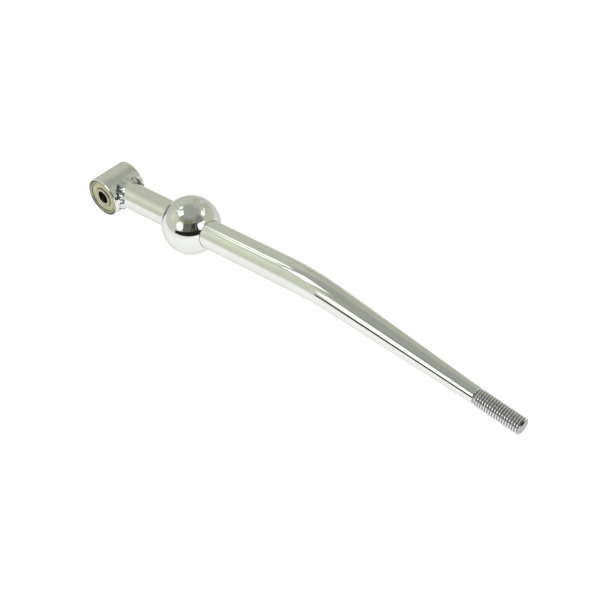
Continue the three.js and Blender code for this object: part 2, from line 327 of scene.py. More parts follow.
def build_shaft():
    """The plated bar, from its coped end inside the tube's wall to the relief before the thread."""
    rows = []
    coped = TUBE_RADIUS - COPE_SINK
    plain_from = TUBE_RADIUS + COPE_LENGTH
    for share in between(0.15, 1, 8):
        row = row_at(0, LOWER_RADIUS * share)
        row[:, 0] = saddle_reach(row[:, 2], coped)
        rows.append(row)
    edge = rows[-1]
    for share in between(0.1, 1, 7):
        row = edge.copy()
        row[:, 0] = edge[:, 0] + (plain_from - edge[:, 0]) * share
        rows.append(row)
    step = 0.25 * MM
    for along in between(plain_from, SHOULDER - step, 14)[1:]:
        rows.append(row_at(along, LOWER_RADIUS))
    corner = UPPER_RADIUS - LOWER_RADIUS
    face = SHOULDER + 0.14 * MM
    for turn in between(0, math.pi / 2, 6):
        along = face + corner * (1 - math.cos(turn))
        rows.append(row_at(along, LOWER_RADIUS + corner * math.sin(turn)))
    rows.append(row_at(face + 2 * corner, UPPER_RADIUS))
    for along in between(SHOULDER + 4 * step, BEND_START - BEND_MARGIN - 1 * MM, 10):
        rows.append(row_at(along, UPPER_RADIUS))
    for along in between(BEND_START - BEND_MARGIN, BEND_END + BEND_MARGIN, 64):
        rows.append(row_at(along, plain_radius(along)))
    for along in between(BEND_END + BEND_MARGIN + 2 * MM, RELIEF_START - 0.5 * MM, 24):
        rows.append(row_at(along, plain_radius(along)))
    rows.append(row_at(RELIEF_START - 0.15 * MM, TAPER_END_RADIUS))
    rows.append(row_at(RELIEF_START, TAPER_END_RADIUS - RELIEF_EDGE))
    rows.append(row_at(RELIEF_START + RELIEF_EDGE, THREAD_ROOT_RADIUS + 0.1 * MM))
    rows.append(row_at(RELIEF_START + RELIEF_WALL, THREAD_ROOT_RADIUS - 0.5 * MM))
    rows = np.stack(rows)
    start = np.array([coped, 0, 0])
    end = bent(np.array([RELIEF_START + RELIEF_WALL, 0.0, 0.0]))
    return capped_body("shift_shaft_plated", bent(rows), start, end, sharp_angle=60)


def build_thread():
    """The knob thread, from inside the relief to the flat tip."""
    turn = angles(SHAFT_SIDES)
    hidden_end = RELIEF_START - 0.6 * MM
    rows = [row_at(hidden_end, THREAD_ROOT_RADIUS - 0.2 * MM)]
    rows.append(row_at(THREAD_START - 0.5 * MM, THREAD_ROOT_RADIUS))
    for along in between(THREAD_START, SHAFT_END, THREAD_ROWS):
        rows.append(row_at(along, thread_radius(along, turn)))
    for share in (0.97, 0.6, 0.25):
        rows.append(row_at(SHAFT_END, TIP_FACE_RADIUS * share))
    rows = np.stack(rows)
    start = bent(np.array([hidden_end, 0.0, 0.0]))
    end = bent(np.array([SHAFT_END, 0.0, 0.0]))
    return capped_body("shift_shaft_thread", bent(rows), start, end, sharp_angle=60)


# ---------------------------------------------------------------------------
# Pivot ball, cross tube and weld
# ---------------------------------------------------------------------------


def build_ball():
    """A bored ball with softly broken mouths."""
    outline = []
    bore = LOWER_RADIUS + 0.04 * MM
    break_size = 0.07 * MM
    reach = math.asin((bore + break_size) / BALL_RADIUS)
    for polar in between(math.pi - reach, reach, 96):
        outline.append((BALL_RADIUS * math.sin(polar), BALL_RADIUS * math.cos(polar)))
    face = BALL_RADIUS * math.cos(reach)
    edge = []
    for turn in between(0, math.pi / 2, 5)[1:]:
        drop = 1 - math.cos(turn)
        edge.append((bore + break_size * (1 - math.sin(turn)), face - break_size * drop))
    outline += edge
    outline += [(bore, y) for y in between(face - 2 * break_size, 2 * break_size - face, 6)]
    outline += [(radius, -y) for radius, y in reversed(edge)]
    rows = turned_about_y(outline, 160)
    along_x = np.stack([rows[..., 1], rows[..., 0], rows[..., 2]], axis=-1)
    along_x[..., 0] += CROSS_TUBE_TO_BALL
    return ring_body("pivot_ball_plated", along_x)


def build_tube():
    """The cross tube with its two bearing seats. The ends and the bore are bare machined steel,
    made darker as painted shade round the bearing recess.
    """
    end, seat, land = TUBE_HALF_LENGTH, TUBE_SEAT_RADIUS, BEARING_CENTRE - BEARING_HALF_WIDTH
    edge, lead, lead_depth = 0.5 * MM, 0.45 * MM, 0.75 * MM
    half = [
        (TUBE_RADIUS, end - edge),
        (TUBE_RADIUS - edge, end),
        (seat + lead, end),
        (seat, end - lead_depth),
        (seat, land),
        (TUBE_LAND_RADIUS, land),
    ]
    outer = half + [(radius, -y) for radius, y in reversed(half)]
    tube = ring_body("cross_tube_plated", turned_about_y(rounded(outer, 0.3 * MM, 6), 160))
    bare_within = TUBE_RADIUS - 1.1 * edge
    for polygon in tube.data.polygons:
        out = polygon.center - TUBE_CENTRE
        polygon.material_index = int(math.hypot(out.x, out.z) < bare_within)
    return tube


def smooth_noise(turn, across, seed):
    """A repeatable unevenness round the weld, between about -1 and 1, from a few sine waves."""
    draw = np.random.RandomState(seed)
    total = np.zeros(np.broadcast(turn, across).shape)
    for waves in (3, 5, 8, 13, 21):
        phase, drift = draw.uniform(0, 2 * math.pi, 2)
        skew = draw.uniform(-3, 3)
        total = total + np.sin(waves * turn + phase + skew * across) * (3 / (waves + 4))
        total = total + np.sin((waves + 1) * turn + drift) * np.sin(5 * across + phase) * 0.25
    return total / 2.2


WELD_LEG = 3.15
WELD_LEG_DRIFT = 0.3
WELD_SINK = 0.06 * MM
WELD_SWELL = 0.3 * MM
WELD_ROUGHNESS = 0.34 * MM
WELD_RIPPLES = 15
WELD_ROWS = 25
WELD_DEPTH = 1.2 * MM


def build_weld():
    """The fillet where shaft and tube meet: concave, tangent to both, ground by hand and plated."""
    turn = angles(360)
    height = LOWER_RADIUS * np.sin(turn)
    root = np.stack(
        [saddle_reach(height, TUBE_RADIUS), LOWER_RADIUS * np.cos(turn), height], axis=1
    )
    leg = (WELD_LEG + WELD_LEG_DRIFT * smooth_noise(turn, 0, 4)) * MM
    start_angle = np.arcsin(height / TUBE_RADIUS)
    on_tube = start_angle + leg * np.sin(turn) / TUBE_RADIUS
    tube_point = np.stack(
        [
            (TUBE_RADIUS - WELD_SINK) * np.cos(on_tube),
            root[:, 1] + leg * np.cos(turn),
            (TUBE_RADIUS - WELD_SINK) * np.sin(on_tube),
        ],
        axis=1,
    )
    inside = (LOWER_RADIUS - WELD_SINK) / LOWER_RADIUS
    shaft_point = root * [1, inside, inside]
    at_sides = np.abs(np.cos(turn))
    shaft_point[:, 0] += (1.0 + 0.55 * at_sides) * leg
    rows = []
    handwork = 0.25 + 0.75 * at_sides
    outward = np.stack([np.ones_like(turn) * 0.7, np.cos(turn), np.sin(turn)], axis=1)
    outward /= np.linalg.norm(outward, axis=1)[:, None]
    for share in between(0, 1, WELD_ROWS):
        curve = (1 - share) ** 2 * tube_point + share**2 * shaft_point
        curve = curve + 2 * share * (1 - share) * root
        arch = math.sin(math.pi * share)
        rough = smooth_noise(turn, 3 * share, 9) + 0.8 * np.cos(WELD_RIPPLES * turn + 2.2 * share)
        rough = arch * WELD_ROUGHNESS * rough * handwork
        rows.append(curve + outward * (arch * WELD_SWELL + rough)[:, None])
    deep, tube_deep = WELD_DEPTH, 0.8 * WELD_DEPTH
    buried = root * [1, 1 - deep / LOWER_RADIUS, 1 - deep / LOWER_RADIUS]
    rows.append(np.column_stack([shaft_point[:, 0] - deep, buried[:, 1], buried[:, 2]]))
    rows.append(np.column_stack([root[:, 0] - tube_deep, buried[:, 1], buried[:, 2]]))
    under = (TUBE_RADIUS - tube_deep) / (TUBE_RADIUS - WELD_SINK)
    rows.append(tube_point * [under, 1, under])
    return ring_body("tube_weld_plated", np.stack(rows), sharp_angle=70)


# ---------------------------------------------------------------------------
# Bearings
# ---------------------------------------------------------------------------

RING_SIDES = 128


def groove(land, floor):
    """A race groove's curve from its +y edge to its -y edge, as (radius, y) pairs."""
    curve = RACE_BALL_RADIUS * 1.03
    away = 1 if floor > land else -1
    centre = floor - away * curve
    reach = math.acos(max(-1.0, min(1.0, abs(land - centre) / curve)))
    points = []
    for turn in between(reach, -reach, 17):
        points.append((centre + away * curve * math.cos(turn), curve * math.sin(turn)))
    return points


def shifted(outline, side):
    """Moves an outline to the bearing on that side of the tube."""
    return [(radius, y + side * BEARING_CENTRE) for radius, y in outline]


def build_outer_ring(hand, side):
    half, seat = BEARING_HALF_WIDTH, BEARING_HALF_WIDTH - SHIELD_SEAT_DEPTH
    floor = RACE_PITCH_RADIUS + RACE_BALL_RADIUS + RACE_CLEARANCE
    edge, crimp, crimp_from_end = 0.5 * MM, SHIELD_SEAT_RADIUS + 0.12 * MM, 0.35 * MM
    outline = [(BEARING_RADIUS - edge, -half), (BEARING_RADIUS, edge - half)]
    outline += [(BEARING_RADIUS, half - edge), (BEARING_RADIUS - edge, half)]
    outline += [(SHIELD_SEAT_RADIUS, half)]
    outline += [(crimp, half - crimp_from_end), (SHIELD_SEAT_RADIUS, seat)]
    outline += [(OUTER_SHOULDER_RADIUS, seat), *groove(OUTER_SHOULDER_RADIUS, floor)]
    outline += [(OUTER_SHOULDER_RADIUS, -seat), (SHIELD_SEAT_RADIUS, -seat)]
    outline += [(crimp, crimp_from_end - half), (SHIELD_SEAT_RADIUS, -half)]
    rows = turned_about_y(shifted(rounded(outline, 0.25 * MM), side), RING_SIDES)
    return ring_body(f"bearing_{hand}_outer_ring_ground", rows)


def build_inner_ring(hand, side):
    half = BEARING_HALF_WIDTH
    floor = RACE_PITCH_RADIUS - RACE_BALL_RADIUS - RACE_CLEARANCE
    outline = [(BORE_RADIUS, half), (BORE_RADIUS, -half), (INNER_SHOULDER_RADIUS, -half)]
    outline += list(reversed(groove(INNER_SHOULDER_RADIUS, floor)))
    outline += [(INNER_SHOULDER_RADIUS, half)]
    rows = turned_about_y(shifted(rounded(outline, 0.3 * MM), side), RING_SIDES)
    return ring_body(f"bearing_{hand}_inner_ring_ground", rows)


def build_shield(hand, place, side, facing):
    """A pressed shield: a rolled rim in the ring's groove, a flat, and a step down at its bore."""
    top = BEARING_HALF_WIDTH - 0.3 * MM
    sheet = 0.22 * MM
    inner, outer = INNER_SHOULDER_RADIUS + 0.22 * MM, SHIELD_SEAT_RADIUS - 0.2 * MM
    flat, lip = top - 0.16 * MM, top - 0.3 * MM
    face = [
        (outer, top - 0.02 * MM),
        (outer - 0.3 * MM, top + 0.06 * MM),
        (outer - 0.55 * MM, flat),
        (inner + 0.75 * MM, flat),
        (inner + 0.5 * MM, lip),
        (inner, lip),
    ]
    back = [(radius, y - sheet) for radius, y in reversed(face)]
    outline = [(radius, facing * y) for radius, y in rounded(face + back, 0.08 * MM, 3)]
    rows = turned_about_y(shifted(outline, side), RING_SIDES)
    return ring_body(f"bearing_{hand}_shield_{place}_pressed", rows)


def build_race_ball(hand, number, side):
    turn = 2 * math.pi * (number - 1) / RACE_BALL_COUNT
    centre = Vector(
        (
            RACE_PITCH_RADIUS * math.sin(turn),
            side * BEARING_CENTRE,
            RACE_PITCH_RADIUS * math.cos(turn),
        )
    )
    work = bmesh.new()
    place = LEVER @ Matrix.Translation(centre)
    bmesh.ops.create_icosphere(work, subdivisions=3, radius=RACE_BALL_RADIUS, matrix=place)
    mesh = bpy.data.meshes.new(f"bearing_{hand}_ball_{number}_ground")
    work.to_mesh(mesh)
    work.free()
    mesh.polygons.foreach_set("use_smooth", [True] * len(mesh.polygons))
    return new_object(mesh.name, mesh)


def build_cage_half(hand, place, side, facing):
    """Half of a ribbon cage: a pressed band, flat between the balls and domed over each."""
    sides = 56 * RACE_BALL_COUNT
    turn = angles(sides)
    pitch_angle = 2 * math.pi / RACE_BALL_COUNT
    from_ball = (turn + pitch_angle / 2) % pitch_angle - pitch_angle / 2
    arc = np.abs(from_ball) * RACE_PITCH_RADIUS
    pocket, sheet, flat = RACE_BALL_RADIUS + 0.12 * MM, 0.35 * MM, 0.1 * MM
    low = np.maximum(flat, np.sqrt(np.maximum(0, pocket**2 - arc**2)))
    high = np.maximum(flat + sheet, np.sqrt(np.maximum(0, (pocket + sheet) ** 2 - arc**2)))
    half_width, ease = 0.75 * MM, 0.06 * MM
    inner, outer = RACE_PITCH_RADIUS - half_width, RACE_PITCH_RADIUS + half_width
    corners = [(inner, low, ease), (inner, high, -ease), (inner + ease, high, 0)]
    corners += [(outer - ease, high, 0), (outer, high, -ease), (outer, low, ease)]
    corners += [(outer - ease, low, 0), (inner + ease, low, 0)]
    rows = []
    for radius, heights, nudge in corners:
        y = facing * (heights + nudge) + side * BEARING_CENTRE
        rows.append(np.stack([radius * np.sin(turn), y, radius * np.cos(turn)], axis=1))
    return ring_body(f"bearing_{hand}_cage_{place}_pressed", np.stack(rows), sharp_angle=50)


def build_sleeve():
    half = BEARING_CENTRE - BEARING_HALF_WIDTH - 0.02 * MM
    outline = [(SLEEVE_BORE_RADIUS, half), (SLEEVE_BORE_RADIUS, -half)]
    outline += [(SLEEVE_RADIUS, -half), (SLEEVE_RADIUS, half)]
    return ring_body("spacer_sleeve_turned", turned_about_y(rounded(outline, 0.25 * MM), 96))


# ---------------------------------------------------------------------------
# Materials
# ---------------------------------------------------------------------------


CLOUD_LOW, CLOUD_HIGH = 0.3, 0.7


def new_material(name):
    made = bpy.data.materials.new(name)
    made.use_nodes = True
    shader = made.node_tree.nodes["Principled BSDF"]
    shader.inputs["Metallic"].default_value = 1.0
    return made, made.node_tree.nodes, made.node_tree.links, shader


def noise(nodes, links, scale, detail, stretch=None):
    """A noise texture in the lever's own space. stretch draws it out along each axis."""
    place = nodes.new("ShaderNodeTexCoord")
    grain = nodes.new("ShaderNodeTexNoise")
    grain.inputs["Scale"].default_value = scale
    grain.inputs["Detail"].default_value = detail
    source = place.outputs["Object"]
    if stretch:
        fit = nodes.new("ShaderNodeMapping")
        fit.inputs["Scale"].default_value = stretch
        fit.inputs["Rotation"].default_value = (0, RISE, 0)
        links.new(source, fit.inputs["Vector"])
        source = fit.outputs["Vector"]
    links.new(source, grain.inputs["Vector"])
    return grain.outputs["Fac"]


def ramp(nodes, links, source, low, high, start=CLOUD_LOW, stop=CLOUD_HIGH):
    made = nodes.new("ShaderNodeMapRange")
    made.inputs["From Min"].default_value = start
    made.inputs["From Max"].default_value = stop
    made.inputs["To Min"].default_value = low
    made.inputs["To Max"].default_value = high
    links.new(source, made.inputs["Value"])
    return made.outputs["Result"]


def tint(nodes, links, source, first, second):
    made = nodes.new("ShaderNodeValToRGB")
    made.color_ramp.elements[0].position = CLOUD_LOW
    made.color_ramp.elements[0].color = (*first, 1)
    made.color_ramp.elements[1].position = CLOUD_HIGH
    made.color_ramp.elements[1].color = (*second, 1)
    links.new(source, made.inputs["Fac"])
    return made.outputs["Color"]


def bump(nodes, links, source, depth, under=None):
    made = nodes.new("ShaderNodeBump")
    made.inputs["Strength"].default_value = 1.0
    made.inputs["Distance"].default_value = depth
    links.new(source, made.inputs["Height"])
    if under is not None:
        links.new(under, made.inputs["Normal"])
    return made.outputs["Normal"]


EDGE_TINT = (0.7, 0.7, 0.7, 1)


def metal(name, colours, roughness, layers, cloud_scale):
    """A metal whose colour and gloss drift over cloud_scale.

    Each layer of bumps is (scale, detail, stretch, depth).
    """
    made, nodes, links, shader = new_material(name)
    shader.inputs["Specular Tint"].default_value = EDGE_TINT
    cloud = noise(nodes, links, cloud_scale, 4)
    links.new(tint(nodes, links, cloud, *colours), shader.inputs["Base Color"])
    haze = noise(nodes, links, cloud_scale * 2.3, 6)
    links.new(ramp(nodes, links, haze, *roughness), shader.inputs["Roughness"])
    normal = None
    for scale, detail, stretch, depth in layers:
        grain = noise(nodes, links, scale, detail, stretch)
        normal = bump(nodes, links, grain, depth, under=normal)
    if normal is not None:
        links.new(normal, shader.inputs["Normal"])
    return made


CHROME_COLOURS = ((0.605, 0.61, 0.605), (0.63, 0.635, 0.63))
# The weld's dark colour: random dark patches, and painted shade at the weld's two sides.
DARK_PLATE_AND_SHADE = (0.12, 0.16, 0.16)
# The thread's groove colour is painted shade.
GROOVE_SHADE_PLATE = (0.37, 0.37, 0.385)
CREST_PLATE = (0.6, 0.595, 0.62)


def chrome():
    """Bright plate over a drawn bar: faint lines along the bar and a slow polishing wave."""
    drawn = (420, 3, (0.02, 1, 1), 0.004 * MM)
    wave = (110, 2, (0.35, 1, 1), 0.012 * MM)
    return metal("chrome_plate", CHROME_COLOURS, (0.02, 0.06), [drawn, wave], 40)


def ball_chrome():
    wave = (90, 2, None, 0.006 * MM)
    return metal("chrome_plate_ball", CHROME_COLOURS, (0.015, 0.045), [wave], 45)


def tube_chrome():
    """The tube is linished by hand near the weld, so its plate waves more."""
    wave = (120, 3, (1, 0.6, 1), 0.5 * MM)
    dents = (420, 2, (1, 0.5, 1), 0.06 * MM)
    grain = (900, 3, (1, 0.1, 1), 0.003 * MM)
    return metal("chrome_plate_tube", CHROME_COLOURS, (0.04, 0.1), [wave, dents, grain], 60)


def weld_chrome():
    """Plate over a weld ground by hand: rippled, darker in random patches, and darker at its two
    sides as painted shade, where the weld fills the tight corner between rod and tube.
    """
    ripple = (420, 3, None, 0.12 * MM)
    pits = (1500, 2, None, 0.02 * MM)
    made = metal("chrome_plate_weld", CHROME_COLOURS, (0.05, 0.14), [ripple, pits], 120)
    nodes, links = made.node_tree.nodes, made.node_tree.links
    split = nodes.new("ShaderNodeSeparateXYZ")
    links.new(nodes.new("ShaderNodeTexCoord").outputs["Object"], split.inputs["Vector"])
    aside = nodes.new("ShaderNodeMath")
    aside.operation = "ABSOLUTE"
    links.new(split.outputs["Y"], aside.inputs[0])
    # Painted shade: the full plate colour holds in the middle and fades to the dark colour towards
    # the weld's two sides.
    middle_share = ramp(nodes, links, aside.outputs["Value"], 1.0, 0.0, 3.5 * MM, 6 * MM)
    plate_share = ramp(nodes, links, noise(nodes, links, 310, 2), 0.0, 1.0, 0.45, 0.55)
    bright_share = nodes.new("ShaderNodeMath")
    bright_share.operation = "MAXIMUM"
    links.new(middle_share, bright_share.inputs[0])
    links.new(plate_share, bright_share.inputs[1])
    colour = tint(nodes, links, bright_share.outputs["Value"], DARK_PLATE_AND_SHADE, CHROME_COLOURS[0])
    links.new(colour, nodes["Principled BSDF"].inputs["Base Color"])
    return made


def thread_chrome():
    """Plate on the thread: bright on the crests, and darker in the grooves as painted shade."""
    made, nodes, links, shader = new_material("chrome_plate_thread")
    start = LEVER @ Vector(bent(np.array([THREAD_START, 0.0, 0.0])))
    axis = (LEVER @ Vector(bent(np.array([SHAFT_END, 0.0, 0.0]))) - start).normalized()
    place = nodes.new("ShaderNodeTexCoord")
    out = nodes.new("ShaderNodeVectorMath")
    out.operation = "SUBTRACT"
    out.inputs[1].default_value = start
    links.new(place.outputs["Object"], out.inputs[0])
    across = nodes.new("ShaderNodeVectorMath")
    across.operation = "CROSS_PRODUCT"
    across.inputs[1].default_value = axis
    links.new(out.outputs["Vector"], across.inputs[0])
    length = nodes.new("ShaderNodeVectorMath")
    length.operation = "LENGTH"
    links.new(across.outputs["Vector"], length.inputs[0])
    # Painted shade: the colour darkens from the crests down to the roots, by distance from the
    # thread's axis.
    low, high = THREAD_ROOT_RADIUS + 0.1 * MM, THREAD_CREST_RADIUS - 0.1 * MM
    up = ramp(nodes, links, length.outputs["Value"], 0.0, 1.0, low, high)
    links.new(tint(nodes, links, up, GROOVE_SHADE_PLATE, CREST_PLATE), shader.inputs["Base Color"])
    grain = noise(nodes, links, 900, 3)
    links.new(ramp(nodes, links, grain, 0.08, 0.18), shader.inputs["Roughness"])
    shader.inputs["Specular Tint"].default_value = EDGE_TINT
    links.new(bump(nodes, links, grain, 0.02 * MM), shader.inputs["Normal"])
    return made


def machined_steel_and_shade():
    # Darker than bare steel: partly the steel's own tone, partly painted shade round the bearing
    # recess.
    colours = ((0.22, 0.225, 0.17), (0.3, 0.305, 0.235))
    turned = (2400, 3, None, 0.006 * MM)
    return metal("machined_face_steel_and_shade", colours, (0.2, 0.32), [turned], 160)


def ring_steel():
    colours = ((0.31, 0.3, 0.215), (0.38, 0.37, 0.275))
    grind = (2600, 3, None, 0.004 * MM)
    return metal("bearing_ring_steel", colours, (0.18, 0.34), [grind], 160)


def shield_steel():
    colours = ((0.37, 0.35, 0.24), (0.44, 0.415, 0.295))
    press = (1400, 4, None, 0.01 * MM)
    return metal("bearing_shield_steel", colours, (0.26, 0.42), [press], 180)


def cage_steel():
    colours = ((0.3, 0.28, 0.24), (0.4, 0.38, 0.33))
    return metal("bearing_cage_steel", colours, (0.35, 0.5), [(1200, 4, None, 0.01 * MM)], 200)


def race_ball_steel():
    colours = ((0.6, 0.6, 0.6), (0.66, 0.66, 0.66))
    return metal("bearing_ball_steel", colours, (0.03, 0.08), [(900, 2, None, 0.001 * MM)], 200)


def sleeve_steel():
    colours = ((0.22, 0.21, 0.17), (0.34, 0.32, 0.27))
    turned = (3000, 2, (0.1, 1, 0.1), 0.01 * MM)
    return metal("spacer_sleeve_steel", colours, (0.3, 0.5), [turned], 150)


# ---------------------------------------------------------------------------
# Putting the pieces on their bodies
# ---------------------------------------------------------------------------


def fit(piece, material, body, slot, *nodes):
    piece.data.materials.append(material)
    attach(piece, body)
    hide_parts(*nodes)


plate, ball_plate, tube_plate, weld_plate = chrome(), ball_chrome(), tube_chrome(), weld_chrome()
ring_metal, shield_metal, cage_metal = ring_steel(), shield_steel(), cage_steel()
race_ball_metal, sleeve_metal = race_ball_steel(), sleeve_steel()

fit(build_shaft(), plate, "lever", "chrome", "shift_shaft")
fit(build_thread(), thread_chrome(), "lever", "chrome", "shift_shaft")
fit(build_ball(), ball_plate, "lever", "chrome", "pivot_ball")
cross_tube = build_tube()
fit(cross_tube, tube_plate, "lever", "chrome", "cross_tube")
cross_tube.data.materials.append(machined_steel_and_shade())
fit(build_weld(), weld_plate, "lever", "plated_weld", "tube_weld")
fit(build_sleeve(), sleeve_metal, "inner_races", "sleeve_steel", "spacer_sleeve")

for hand, side in (("left", 1), ("right", -1)):
    part = f"bearing_{hand}"
    fit(build_outer_ring(hand, side), ring_metal, "lever", "ring_steel", f"{part}_outer_ring")
    fit(build_inner_ring(hand, side), ring_metal, "inner_races", "ring_steel", f"{part}_inner_ring")
    for place, facing in (("outboard", side), ("inboard", -side)):
        shield = build_shield(hand, place, side, facing)
        fit(shield, shield_metal, "lever", "shield_steel", f"{part}_shield_{place}")
        cage = build_cage_half(hand, place, side, facing)
        fit(cage, cage_metal, f"cage_{hand}", "cage_steel", f"{part}_cage_{place}")
    for number in range(1, RACE_BALL_COUNT + 1):
        ball = build_race_ball(hand, number, side)
        fit(ball, race_ball_metal, f"cage_{hand}", "ball_steel", f"{part}_ball_{number}")

# ---------------------------------------------------------------------------
# Camera
# ---------------------------------------------------------------------------

VIEW_AZIMUTH = math.radians(44.796)
VIEW_ELEVATION = math.radians(41.749)
VIEW_ROLL = math.radians(4.099)
VIEW_TARGET = Vector((0.00684, 0.0, 0.00617))
VIEW_DISTANCE = 0.7105
VIEW_LENS = 76.97

FRONT = Vector((math.sin(VIEW_AZIMUTH), -math.cos(VIEW_AZIMUTH), 0.0))
SIDE = Vector((math.cos(VIEW_AZIMUTH), math.sin(VIEW_AZIMUTH), 0.0))


def build_camera():
    data = bpy.data.cameras.new("camera")
    data.lens = VIEW_LENS
    data.sensor_width = 36.0
    data.dof.use_dof = False
    data.clip_start, data.clip_end = 0.01, 100.0
    camera = new_object("camera", data)
    back = FRONT * math.cos(VIEW_ELEVATION) + UP * math.sin(VIEW_ELEVATION)
    level_up = back.cross(SIDE)
    right = SIDE * math.cos(VIEW_ROLL) - level_up * math.sin(VIEW_ROLL)
    up = back.cross(right)
    camera.matrix_world = Matrix.Translation(VIEW_TARGET + back * VIEW_DISTANCE) @ Matrix(
        (right, up, back)
    ).transposed().to_4x4()
    bpy.context.scene.camera = camera


# ---------------------------------------------------------------------------
# Floor and studio light
# ---------------------------------------------------------------------------

PLATE_REFLECTS = 0.62


def seen(red, green, blue):
    """The light that reads as this screen colour in the plate."""

    def linear(value):
        share = value / 255
        return share / 12.92 if share <= 0.04045 else ((share + 0.055) / 1.055) ** 2.4

    return tuple(linear(value) / PLATE_REFLECTS for value in (red, green, blue))


def toward(round_angle, up_angle):
    """A direction from degrees round from the front, to the camera's right, and degrees up."""
    turn, rise = math.radians(round_angle), math.radians(up_angle)
    level = FRONT * math.cos(turn) + SIDE * math.sin(turn)
    return level * math.cos(rise) + UP * math.sin(rise)


class Painter:
    """Lays soft patches of colour over each other, on two coordinates called across and up."""

    def __init__(self, nodes, links):
        self.nodes, self.links = nodes, links
        self.place = self.across = self.up = None

    def dot(self, source, direction):
        node = self.nodes.new("ShaderNodeVectorMath")
        node.operation = "DOT_PRODUCT"
        node.inputs[1].default_value = direction
        self.links.new(source, node.inputs[0])
        return node.outputs["Value"]

    def math(self, operation, first, second=None):
        node = self.nodes.new("ShaderNodeMath")
        node.operation = operation
        for index, value in enumerate((first, second)):
            if isinstance(value, (int, float)):
                node.inputs[index].default_value = value
            elif value is not None:
                self.links.new(value, node.inputs[index])
        return node.outputs["Value"]

    def between(self, source, start, stop, kind="LINEAR"):
        node = self.nodes.new("ShaderNodeMapRange")
        node.interpolation_type = kind
        node.inputs["From Min"].default_value = start
        node.inputs["From Max"].default_value = stop
        self.links.new(source, node.inputs["Value"])
        return node.outputs["Result"]

    def span(self, source, low, high, edge):
        """1 between low and high, falling to 0 over edge outside."""
        enters = self.between(source, low - edge, low, "SMOOTHSTEP")
        leaves = self.between(source, high + edge, high, "SMOOTHSTEP")
        return self.math("MINIMUM", enters, leaves)

    def patch(self, across, up, edge):
        sides = self.span(self.across, *across, edge)
        return self.math("MULTIPLY", sides, self.span(self.up, *up, edge))

    def gradient(self, source, stops):
        """A colour from (value, colour) pairs in rising order."""
        first, last = stops[0][0], stops[-1][0]
        node = self.nodes.new("ShaderNodeValToRGB")
        self.links.new(self.between(source, first, last), node.inputs["Fac"])
        elements = node.color_ramp.elements
        while len(elements) < len(stops):
            elements.new(0.5)
        for element, (value, colour) in zip(elements, stops):
            element.position = (value - first) / (last - first)
            element.color = (*colour, 1)
        return node.outputs["Color"]

    def over(self, under, colour, mask):
        node = self.nodes.new("ShaderNodeMix")
        node.data_type = "RGBA"
        self.links.new(mask, node.inputs["Factor"])
        if isinstance(under, tuple):
            node.inputs["A"].default_value = (*under, 1)
        else:
            self.links.new(under, node.inputs["A"])
        node.inputs["B"].default_value = (*colour, 1)
        return node.outputs["Result"]


# Degrees up, and the screen colour that the plate shows of the wall there.
WALL_BANDS = [
    (-20, (200, 202, 192)),
    (0, (190, 192, 179)),
    (18, (185, 189, 171)),
    (40, (182, 186, 166)),
    (50, (178, 181, 164)),
    (58, (157, 160, 149)),
    (75, (152, 156, 147)),
    (90, (151, 155, 147)),
]

# Screen colour, degrees round from the front, degrees up, and degrees of soft edge.
WALL_PATCHES = [
    ((196, 200, 182), (-122, -66), (4, 40), 8),
    ((211, 215, 193), (-104, -94), (28, 34), 13),
    ((182, 182, 160), (72, 130), (12, 34), 10),
    ((171, 173, 157), (138, 166), (16, 52), 10),
    ((143, 146, 139), (-66, 74), (49, 60), 8),
    ((122, 119, 97), (-25, 10), (30, 49), 18),
    ((128, 124, 118), (32, 70), (38, 52), 8),
]


def build_walls():
    """The tent round the table, as the world: grey-green walls, a dimmer ceiling, soft patches."""
    world = bpy.data.worlds.new("studio")
    bpy.context.scene.world = world
    world.use_nodes = True
    paint = Painter(world.node_tree.nodes, world.node_tree.links)
    way = paint.nodes.new("ShaderNodeTexCoord").outputs["Generated"]
    round_angle = paint.math("ARCTAN2", paint.dot(way, SIDE), paint.dot(way, FRONT))
    paint.across = paint.math("MULTIPLY", round_angle, 180 / math.pi)
    height = paint.math("ARCSINE", paint.dot(way, UP))
    paint.up = paint.math("MULTIPLY", height, 180 / math.pi)
    colour = paint.gradient(paint.up, [(up, seen(*shade)) for up, shade in WALL_BANDS])
    for shade, across, up, edge in WALL_PATCHES:
        colour = paint.over(colour, seen(*shade), paint.patch(across, up, edge))
    background = paint.nodes["Background"]
    paint.links.new(colour, background.inputs["Color"])


def reflected_card(name, points, faces):
    """A card of the studio that only reflections see."""
    mesh = bpy.data.meshes.new(name)
    mesh.from_pydata(points, [], faces)
    card = new_object(name, mesh)
    card.visible_camera = False
    card.visible_shadow = False
    card.visible_diffuse = False
    return card


def standing_card(name, radius, round_angles, top):
    """A curved card that stands on the floor round the ball."""
    points, faces = [], []
    for step, angle in enumerate(between(*round_angles, 24)):
        foot = below(BALL_CENTRE) + toward(angle, 0) * radius
        points += [foot, foot + UP * top]
        if step:
            faces.append((2 * step - 2, 2 * step - 1, 2 * step + 1, 2 * step))
    return reflected_card(name, points, faces)


def glow(name):
    """A material that only gives light, with a painter on across (the studio's right) and up."""
    made = bpy.data.materials.new(name)
    made.use_nodes = True
    nodes, links = made.node_tree.nodes, made.node_tree.links
    shader = nodes["Principled BSDF"]
    shader.inputs["Base Color"].default_value = (0.0, 0.0, 0.0, 1)
    shader.inputs["Specular IOR Level"].default_value = 0.0
    shader.inputs["Emission Strength"].default_value = 1.0
    paint = Painter(nodes, links)
    paint.place = nodes.new("ShaderNodeTexCoord").outputs["Object"]
    paint.across = paint.dot(paint.place, SIDE)
    paint.up = paint.dot(paint.place, UP)
    return made, paint, shader


# Screen colour, metres to the right, metres up, and metres of soft edge.
ROOM_PATCHES = [
    ((104, 102, 92), (-0.42, -0.08), (0.2, 0.7), 0.05),
    ((44, 44, 38), (0.08, 0.2), (0.42, 0.66), 0.03),
    ((26, 26, 22), (0.31, 0.5), (0.0, 0.8), 0.04),
]


